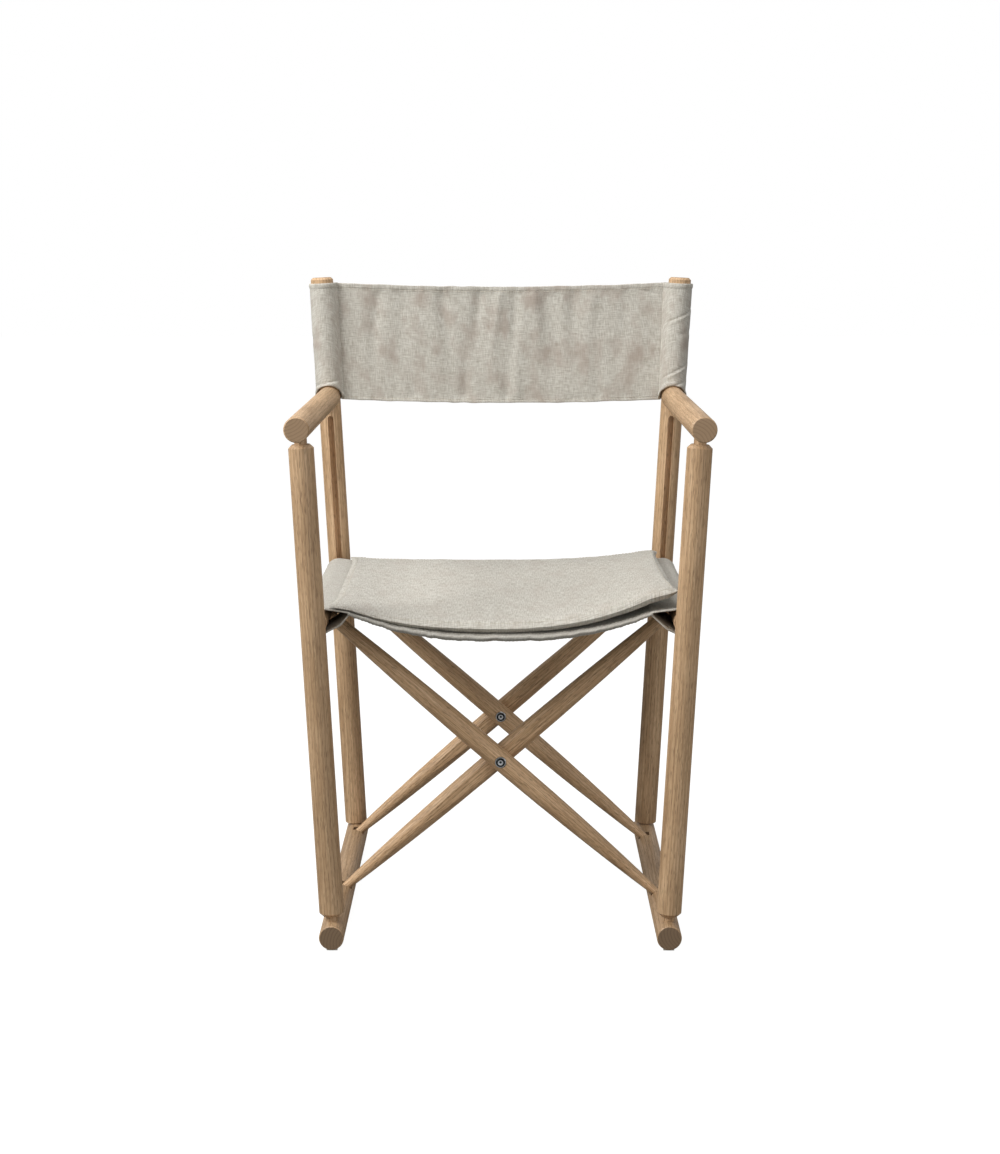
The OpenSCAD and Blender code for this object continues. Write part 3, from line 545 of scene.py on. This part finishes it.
def makeSeatSling():
    spec = seatSling
    u = np.linspace(-1, 1, spec["across"] + 1)[None, :]
    x = u * (seatX + 3.0)
    drop = spec["lip"][0] + (spec["lip"][1] - spec["lip"][0]) * (1 - np.abs(u) ** 3)
    turn = np.linspace(1, 0, 10)[:, None]   # 1 at the hem's free edge, 0 at the bend
    flat = np.linspace(0, 1, spec["along"])[:, None]
    y = np.concatenate([seatY0 - 0.6 + 6.0 * turn ** 1.2 + 0 * u, seatY0 + 2 + (seatY1 - seatY0 - 4) * flat + 0 * u,
                        seatY1 + 0.6 - 6.0 * turn[::-1] ** 1.2 + 0 * u])
    down = np.concatenate([drop * turn ** 0.8 + 0.8, 0 * flat + 0 * u, drop * turn[::-1] ** 0.8 + 0.8])
    z = seatHeight(np.clip(x, -seatX, seatX) + 0 * y, y) - down
    fromFront = np.abs(y - seatY0)
    puckers = (0.8 * softNoise(u * 26, y / 60, 51) + 0.5 * softNoise(u * 44, y / 30, 52)) * np.exp(-fromFront / 22)
    z = z + puckers * smooth((1 - np.abs(u)) / 0.08) * 0.8
    z = z + 0.6 * softNoise(u * 6, y / 70, 53) * smooth((1 - np.abs(u)) / 0.1)
    y = y - (down > 0.9) * (y < 0) * (0.8 + 0.8 * softNoise(u * 30, 0 * y, 54))
    half = 0.6 + 0.55 * (down > 0.7) + 0 * u
    mid = np.stack(np.broadcast_arrays(x / 1000, y / 1000, z / 1000), -1)
    uv = np.stack([arcLengths(mid, 1), arcLengths(mid, 0)], -1)
    piece, skin = clothShell("seat_sling", mid, half / 1000, uv, slingLinen)
    return piece, [skin[2, 4:-4], skin[12, 4:-4], skin[-3, 4:-4], skin[-13, 4:-4]]


# seat sleeves: the sling's ends sewn into tubes round the seat rails, notched where the legs come up
seatSleeve = {"around": 92, "gap": 12.4, "slack": 1.2, "notch": (-24, 74)}


def makeSeatSleeve(side):
    spec, sling = seatSleeve, seatSling
    radius = chair["rail"] / 2 + chair["clear"] + chair["canvas"] / 2
    outline, run = loopOutline(radius, sling["seamIn"], sling["seamRise"], spec["around"])
    legs = foreLegs if side < 0 else aftLegs
    notches = [y + k * spec["gap"] for y in legs for k in (-1, 1)]
    marks = sorted([seatY0, seatY1] + [y for y in notches if seatY0 < y < seatY1])
    rows = [seatY0]
    for a, b in zip(marks, marks[1:]):
        rows += list(np.linspace(a, b, max(2, round((b - a) / 2.6)) + 1)[1:])
    y = np.array(rows)[:, None]
    inward, rise = outline[:, 0][None, :], outline[:, 1][None, :]
    place = (run / run[-1])[None, :]
    slope = np.gradient(outline, axis=0)
    slope /= np.maximum(np.linalg.norm(slope, axis=1, keepdims=True), 1e-9)
    outN, outU = slope[:, 1][None, :], -slope[:, 0][None, :]
    topSide = np.sin(math.pi * np.clip(place / 0.32, 0, 1))
    lowSide = np.sin(math.pi * np.clip((1 - place) / 0.32, 0, 1))
    swell = 0.4 + spec["slack"] * lowSide * (1.0 + 1.2 * softNoise(y / 26, place * 4, 61 + side)) + 0.5 * topSide
    swell = swell + 0.5 * softNoise(y / 24, place * 6, 63 + side)
    flare = np.exp(-np.abs(y - seatY0) / 16) * lowSide
    swell = swell + flare * (2.6 + 2.0 * softNoise(place * 9, y / 20, 65 + side))   # its mouth hangs slack
    swell = np.maximum(swell, 0) * smooth(np.minimum(place, 1 - place) / 0.02)
    swell = np.where((place < 0.34) & (swell > 0.9), 0.9, swell)   # the pad lies on this part
    fromEnd = np.minimum(y - seatY0, seatY1 - y)
    half = 0.6 + 0.5 * smooth((6.5 - fromEnd) / 1.6)
    frayed = 0.8 * softNoise(place * 11, 0 * y, 67 + side) * np.exp(-fromEnd / 8)
    mid = sidePoint(side, inward + outN * swell, y + frayed, chair["railRise"] + rise + outU * swell)
    uv = np.stack([arcLengths(mid, 0), arcLengths(mid, 1)], -1)
    centreY, centre = (y[1:, 0] + y[:-1, 0]) / 2, (outline[1:] + outline[:-1]) / 2
    centreA = np.degrees(np.arctan2(centre[:, 0], -centre[:, 1]))   # round the rail from straight down
    overLeg = np.min(np.abs(centreY[:, None] - np.array(legs)[None, :]), axis=1) < spec["gap"]
    inSlot = (centreA > spec["notch"][0]) & (centreA < spec["notch"][1])
    keep = ~(overLeg[:, None] & inSlot)
    if side > 0:
        mid, uv, keep = mid[:, ::-1], uv[:, ::-1], keep[:, ::-1]
    name = "left_seat_sleeve_canvas" if side < 0 else "right_seat_sleeve_canvas"
    piece, skin = clothShell(name, mid, (half + 0 * place) / 1000, uv, seatLinen, keep)
    column = 4 if side < 0 else spec["around"] - 5
    return piece, [skin[2:-2, column], skin[2, 4:30] if side < 0 else skin[2, -30:-4]]


# seat pad: a thin stuffed pad with a seamed edge, loose on the sling, its right front corner riding up
seatPad = {"halfWidth": 223, "aside": 4.5, "front": seatY0 - 0.5, "back": seatY1 - 4.5, "edge": 7.6, "middle": 11.8,
           "corner": 10, "waist": 0.8, "lift": 13.0, "stitchIn": 6.5,
           "voxel": 0.0040, "pressure": 4.0, "frames": 20, "cap": 0.0040}   # the stuffing, in metres
padFullX, padFullY = seatPad["halfWidth"], (seatPad["back"] - seatPad["front"]) / 2


def padOutline(count):   # points round the flat pad, sides drawn in a little between the corners; mm
    spec = seatPad
    cx, cy = padFullX - spec["corner"], padFullY - spec["corner"]
    points = []
    for k, (sx, sy) in enumerate(((1, -1), (1, 1), (-1, 1), (-1, -1))):
        for a in np.linspace(0, math.pi / 2, 9):
            turn = -math.pi / 2 + k * math.pi / 2 + a
            points.append((sx * cx + spec["corner"] * math.cos(turn), sy * cy + spec["corner"] * math.sin(turn)))
    points = np.array(points + points[:1])
    run = np.concatenate([[0], np.cumsum(np.linalg.norm(np.diff(points, axis=0), axis=1))])
    even = np.linspace(0, run[-1], count, endpoint=False)
    x, y = np.interp(even, run, points[:, 0]), np.interp(even, run, points[:, 1])
    nearSide, nearEnd = np.abs(x) > cx, np.abs(y) > cy
    x = x - np.sign(x) * np.where(nearSide, spec["waist"] * np.clip(1 - (y / padFullY) ** 2, 0, 1), 0)
    y = y - np.sign(y) * np.where(nearEnd, spec["waist"] * np.clip(1 - (x / padFullX) ** 2, 0, 1), 0)
    return np.stack([x, y], 1)


def bendPad(points):   # flat pad in mm, underside at zero, onto the sling
    spec = seatPad
    x, y, h = points[:, 0] + spec["aside"], points[:, 1] + (spec["front"] + spec["back"]) / 2, points[:, 2]
    share = np.clip((y - spec["front"]) / (spec["back"] - spec["front"]), 0, 1)
    lift = spec["lift"] * np.clip(x / spec["halfWidth"], 0, 1.1) ** 1.6 * (1 - 0.8 * share)
    full = 0.30 + 0.70 * smooth((x + 225) / 190) + 0.25 * share * smooth((-x) / 200)
    z = seatHeight(x, y) + 1.3 + lift + h * full
    return np.stack([x, y, z], 1)


def makeSeatPad():
    spec = seatPad
    ring = padOutline(260)
    count = len(ring)
    seam, crown = spec["edge"], spec["middle"]
    # mm in from the edge and up: the underside from its middle out, the side up to the seam, then in over the top
    profile = ((170, 0.0), (90, 0.0), (46, 0.0), (32, 0.8), (15, seam - 4.0), (6, seam - 3.2), (1.4, seam - 2.4),
               (0.0, seam), (1.0, seam + 1.6), (3.5, seam + 2.4), (9, seam + 2.9), (22, seam + 3.4), (50, crown),
               (90, crown), (170, crown))
    layers = []
    for inset, height in profile:
        scale = np.array([1 - inset / padFullX, 1 - inset / padFullY])
        layers.append(np.column_stack([ring * scale, np.full(count, height)]))
    points = np.concatenate(layers)
    faces = [[k * count + i, k * count + (i + 1) % count, (k + 1) * count + (i + 1) % count, (k + 1) * count + i]
             for k in range(len(layers) - 1) for i in range(count)]
    faces += [list(range(count))[::-1], [(len(layers) - 1) * count + i for i in range(count)]]
    piece = newPiece("seat_cushion", points / 1000, faces)
    remesh = piece.modifiers.new("remesh", "REMESH")
    remesh.mode, remesh.voxel_size = "VOXEL", spec["voxel"]
    bakeModifiers(piece)
    start = meshPoints(piece.data)
    stuffing = piece.modifiers.new("stuffing", "CLOTH")
    settings = stuffing.settings
    settings.quality, settings.mass = 5, 0.3
    settings.use_pressure, settings.uniform_pressure_force = True, spec["pressure"]
    settings.effector_weights.gravity = 0
    settings.shrink_min = -0.02   # the cover is cut a little full, which makes it pucker
    settings.tension_stiffness = settings.compression_stiffness = 12
    settings.bending_stiffness = 0.4
    stuffing.point_cache.frame_start, stuffing.point_cache.frame_end = 1, spec["frames"]
    for number in range(1, spec["frames"] + 1):
        scene.frame_set(number)
    bakeModifiers(piece)
    moved = meshPoints(piece.data) - start
    far = np.linalg.norm(moved, axis=1, keepdims=True)
    moved *= np.minimum(1, spec["cap"] / np.maximum(far, 1e-9))
    moved[:, 2] = np.maximum(moved[:, 2], -start[:, 2] - 0.0006)   # flat where it lies on the sling
    start = start + moved
    piece.data.vertices.foreach_set("co", start.astype(np.float32).ravel())
    scene.frame_set(1)
    subdivide = piece.modifiers.new("subdivide", "SUBSURF")
    subdivide.levels = subdivide.render_levels = 1
    bakeModifiers(piece)
    flat = meshPoints(piece.data) * 1000
    # puckers run in from the seamed edge, then the pad is bent onto the sling
    toSide, toEnd = padFullX - np.abs(flat[:, 0]), padFullY - np.abs(flat[:, 1])
    edge = np.maximum(0, np.minimum(toSide, toEnd))
    alongEdge = np.where(toSide < toEnd, flat[:, 1], flat[:, 0])
    upperSide = smooth((flat[:, 2] - spec["edge"] + 1.5) / 1.5)
    puckers = 0.55 * softNoise(alongEdge / 9, edge / 30, 71) + 0.35 * softNoise(alongEdge / 5.5, edge / 20, 72)
    hollows = 0.7 * softNoise(flat[:, 0] / 48, flat[:, 1] / 60, 73)
    hollows = hollows + 0.5 * softNoise(flat[:, 0] / 22, flat[:, 1] / 90, 74)
    flat[:, 2] += upperSide * (puckers * np.exp(-edge / 9) - 0.7 * np.exp(-((edge - spec["stitchIn"]) / 2.4) ** 2))
    flat[:, 2] += upperSide * hollows * smooth(edge / 30)
    tree = BVHTree.FromPolygons([Vector(p) for p in flat], [tuple(p.vertices) for p in piece.data.polygons])
    # the edge seam: a narrow ridge of folded cloth round the pad
    ridge, stitchLine = [], []
    outline = padOutline(520)
    for k, (x, y) in enumerate(outline):
        ahead, behind = outline[(k + 1) % len(outline)], outline[k - 1]
        tangent = Vector((ahead[0] - behind[0], ahead[1] - behind[1], 0)).normalized()
        out = Vector((tangent.y, -tangent.x, 0))
        drawn = Vector((x, y, spec["edge"] - 0.2))
        found = tree.ray_cast(drawn + out * 30, -out)[0] or drawn
        ridge.append((found, out))
        spot = found - out * spec["stitchIn"]
        above = tree.ray_cast(Vector((spot.x, spot.y, 40)), Vector((0, 0, -1)))[0]
        stitchLine.append(above + Vector((0, 0, 0.2)) if above else spot + Vector((0, 0, 4)))
    section = ((-1.0, -0.5), (0.1, -0.7), (0.6, -0.3), (0.7, 0.2), (0.2, 0.6), (-1.0, 0.6))   # mm out and up
    verts = []
    for k, (spot, out) in enumerate(ridge):
        swell = 1 + 0.22 * float(softNoise(np.array([k / 2.3]), np.array([0.5]), 75)[0])
        verts += [tuple(spot + out * (a * swell) + Vector((0, 0, b * swell))) for a, b in section]
    size, total, count = len(section), len(ridge), len(flat)
    polygons = [tuple(p.vertices) for p in piece.data.polygons]
    for k in range(total):
        for i in range(size):
            n, j = count + (k + 1) % total * size, (i + 1) % size
            polygons.append((count + k * size + i, n + i, n + j, count + k * size + j))
    bpy.data.objects.remove(piece)
    whole = np.concatenate([flat, np.array(verts)])
    piece = newPiece("seat_cushion", bendPad(whole) / 1000, polygons, padLinen, whole[:, :2] / 1000)
    path = bendPad(np.array([tuple(p) for p in stitchLine])) / 1000
    return piece, [np.concatenate([path, path[:1]])]


def meshPoints(mesh):
    points = np.zeros(len(mesh.vertices) * 3, np.float32)
    mesh.vertices.foreach_get("co", points)
    return points.reshape(-1, 3).astype(float)


def bakeModifiers(piece):
    graph = bpy.context.evaluated_depsgraph_get()
    plain = bpy.data.meshes.new_from_object(piece.evaluated_get(graph), depsgraph=graph)
    piece.modifiers.clear()
    piece.data = plain


# lockstitch rows: each stitch is a short bead of thread laid along a seam line
stitching = {"Stitch Length": 0.0034, "Spacing": 0.0048,
             "Thickness": 0.00085,   # metres; real thread is half that, drawn thicker so that it shows
             "Seed": 4}


def stitchTree():
    tree = bpy.data.node_groups.new("stitchRow", "GeometryNodeTree")
    face = tree.interface
    face.new_socket(name="Geometry", in_out="INPUT", socket_type="NodeSocketGeometry")
    face.new_socket(name="Geometry", in_out="OUTPUT", socket_type="NodeSocketGeometry")
    for name in ("Stitch Length", "Spacing", "Thickness"):
        face.new_socket(name=name, in_out="INPUT", socket_type="NodeSocketFloat")
    face.new_socket(name="Seed", in_out="INPUT", socket_type="NodeSocketInt")
    face.new_socket(name="Thread", in_out="INPUT", socket_type="NodeSocketMaterial")
    given = addNode(tree, "NodeGroupInput").outputs
    line = addNode(tree, "GeometryNodeMeshToCurve", {}, {}, {"Mesh": given["Geometry"]})
    spots = addNode(tree, "GeometryNodeCurveToPoints", {"mode": "LENGTH"}, {},
                    {"Curve": line, "Length": given["Spacing"]})
    bead = addNode(tree, "GeometryNodeMeshUVSphere", {}, {"Segments": 5, "Rings": 4, "Radius": 0.5})
    vary = addNode(tree, "FunctionNodeRandomValue", {"data_type": "FLOAT"}, {"Min": 0.85, "Max": 1.12},
                   {"Seed": given["Seed"]})
    long = addNode(tree, "ShaderNodeMath", {"operation": "MULTIPLY"}, {}, {0: given["Stitch Length"], 1: vary})
    thick = given["Thickness"]
    size = addNode(tree, "ShaderNodeCombineXYZ", {}, {}, {"X": thick, "Y": thick, "Z": long})
    beads = addNode(tree, "GeometryNodeInstanceOnPoints", {}, {},
                    {"Points": spots, "Instance": bead, "Rotation": spots.outputs["Rotation"], "Scale": size})
    real = addNode(tree, "GeometryNodeRealizeInstances", {}, {}, {"Geometry": beads})
    finish = addNode(tree, "GeometryNodeSetMaterial", {}, {}, {"Geometry": real, "Material": given["Thread"]})
    addNode(tree, "NodeGroupOutput", {}, {}, {"Geometry": finish})
    return tree


rowTree = stitchTree()


def makeStitches(name, lines):
    points, edges = [], []
    for line in lines:
        start = len(points)
        points += [tuple(p) for p in line]
        edges += [(start + i, start + i + 1) for i in range(len(line) - 1)]
    mesh = bpy.data.meshes.new(name)
    mesh.from_pydata(points, edges, [])
    piece = bpy.data.objects.new(name, mesh)
    scene.collection.objects.link(piece)
    modifier = piece.modifiers.new("stitches", "NODES")
    modifier.node_group = rowTree
    values = {**stitching, "Thread": thread}
    for socket in rowTree.interface.items_tree:
        if socket.in_out == "INPUT" and socket.name in values:
            modifier[socket.identifier] = values[socket.name]
    bakeModifiers(piece)
    for polygon in piece.data.polygons:
        polygon.use_smooth = True
    return piece


# points on the left seams of the back panel and of the seat sling
backAnchor = tuple(sidePoint(-1, backSeams[-1][0], yBack, 736))
seatAnchor = tuple(sidePoint(-1, seatSling["seamIn"], 0, chair["railRise"] + seatSling["seamRise"]))

panel, panelLines = makeBackPanel()
panelStitches = makeStitches("back_panel_stitches", panelLines)
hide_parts("back_canvas")
for piece in (panel, panelStitches):
    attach(piece, "left_frame")
    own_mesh(piece)
print("back panel made")

for side, body in ((-1, "left_frame"), (1, "right_frame")):
    word = "left" if side < 0 else "right"
    sleeve, lines = makeBackSleeve(side)
    rows = makeStitches(f"{word}_back_sleeve_stitches", lines)
    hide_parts(f"{word}_back_sleeve")
    for piece in (sleeve, rows):
        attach(piece, body)
print("back sleeves made")

sling, slingLines = makeSeatSling()
cushion, cushionLines = makeSeatPad()
slingStitches = makeStitches("seat_sling_stitches", slingLines)
cushionStitches = makeStitches("seat_cushion_stitches", cushionLines)
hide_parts("seat_canvas")
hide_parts("seat_pad")
for piece in (sling, slingStitches, cushion, cushionStitches):
    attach(piece, "left_rail")
    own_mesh(piece)
for side, body in ((-1, "left_rail"), (1, "right_rail")):
    word = "left" if side < 0 else "right"
    sleeve, lines = makeSeatSleeve(side)
    rows = makeStitches(f"{word}_seat_sleeve_stitches", lines)
    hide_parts(f"{word}_seat_sleeve")
    for piece in (sleeve, rows):
        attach(piece, body)
print("seat made")

# studio: a pale sweep under the chair, one large soft light high on the left, weak fill on the right
studio = {"key": ((-1.9, -1.0, 1.95), 57, 1.1), "fill": ((1.8, -2.5, 1.3), 19, 1.6),   # place, watts, size in metres
          "top": ((-0.2, 0.0, 2.4), 21, 1.6), "aim": (0, 0, 0.7), "ambient": 0.29, "gloss": 0.62,
          "paper": (0.22, 0.22, 0.215, 1), "paperGlow": 0.95}
for name in ("key", "fill", "top"):
    place, power, size = studio[name]
    data = bpy.data.lights.new(name, "AREA")
    data.shape, data.size, data.energy = "SQUARE", size, power
    lamp = bpy.data.objects.new(name, data)
    lamp.location = place
    lamp.rotation_euler = (Vector(studio["aim"]) - Vector(place)).to_track_quat("-Z", "Y").to_euler()
    scene.collection.objects.link(lamp)
world = bpy.data.worlds.new("studio")
scene.world = world
world.use_nodes = True
world.node_tree.nodes.clear()
seen = addNode(world.node_tree, "ShaderNodeLightPath")
mirrored = addNode(world.node_tree, "ShaderNodeMapRange", {},
                   {"To Min": studio["ambient"], "To Max": studio["gloss"]},
                   {"Value": seen.outputs["Is Glossy Ray"]})   # pale walls, met only by reflections
glow = addNode(world.node_tree, "ShaderNodeMapRange", {}, {"To Max": 1.0},
               {"Value": seen.outputs["Is Camera Ray"], "To Min": mirrored})
backdrop = addNode(world.node_tree, "ShaderNodeBackground", {}, {"Color": (1, 1, 1, 1)}, {"Strength": glow})
addNode(world.node_tree, "ShaderNodeOutputWorld", {}, {}, {"Surface": backdrop})

floorMesh = bpy.data.meshes.new("studio_floor")
floorMesh.from_pydata([(-9, -6, 0), (9, -6, 0), (9, 14, 0), (-9, 14, 0)], [], [(0, 1, 2, 3)])
floor = bpy.data.objects.new("studio_floor", floorMesh)
scene.collection.objects.link(floor)
paper, paperTree = newMaterial("whitePaperSweep")
matt = addNode(paperTree, "ShaderNodeBsdfDiffuse", {}, {"Color": studio["paper"]})
seen = addNode(paperTree, "ShaderNodeLightPath")
level = addNode(paperTree, "ShaderNodeMath", {"operation": "MULTIPLY"}, {1: studio["paperGlow"]},
                {0: seen.outputs["Is Camera Ray"]})
lit = addNode(paperTree, "ShaderNodeEmission", {}, {"Color": (1, 1, 1, 1)}, {"Strength": level})
both = addNode(paperTree, "ShaderNodeAddShader", {}, {}, {0: matt, 1: lit})
addNode(paperTree, "ShaderNodeOutputMaterial", {}, {}, {"Surface": both})
floorMesh.materials.append(paper)
